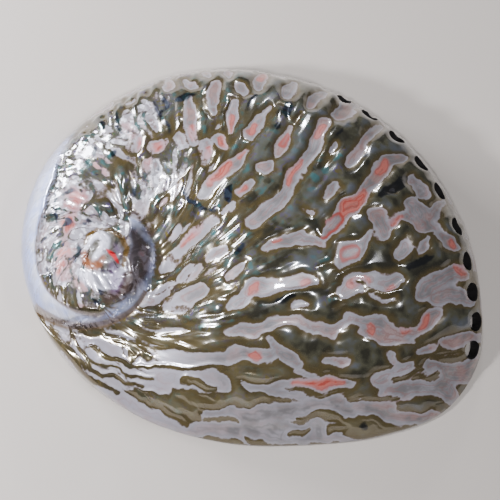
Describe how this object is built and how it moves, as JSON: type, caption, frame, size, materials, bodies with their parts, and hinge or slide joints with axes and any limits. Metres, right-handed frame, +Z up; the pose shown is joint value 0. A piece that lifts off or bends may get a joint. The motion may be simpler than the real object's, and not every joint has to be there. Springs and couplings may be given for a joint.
{
  "type": "polished abalone shell",
  "caption": "Ear-shaped, low-domed sea snail shell with a small off-centre spire, a row of round pores near one edge, rippled ribs and an open hollow underneath, resting on its rim.",
  "frame": {"origin": "middle of the plan extents, on the plane of the rim", "axes": "+X along the length towards the growing end of the outer lip, away from the spire; +Y towards the row of pores; +Z up, from the rim to the top of the dome"},
  "size_m": [0.1516, 0.1216, 0.0382],
  "materials": {
    "nacre": "polished calcium carbonate: glossy silver-green mother of pearl with pale pinkish-white islands"
  },
  "bodies": {
    "root": {"shell": "nacre"}
  },
  "joints": []
}
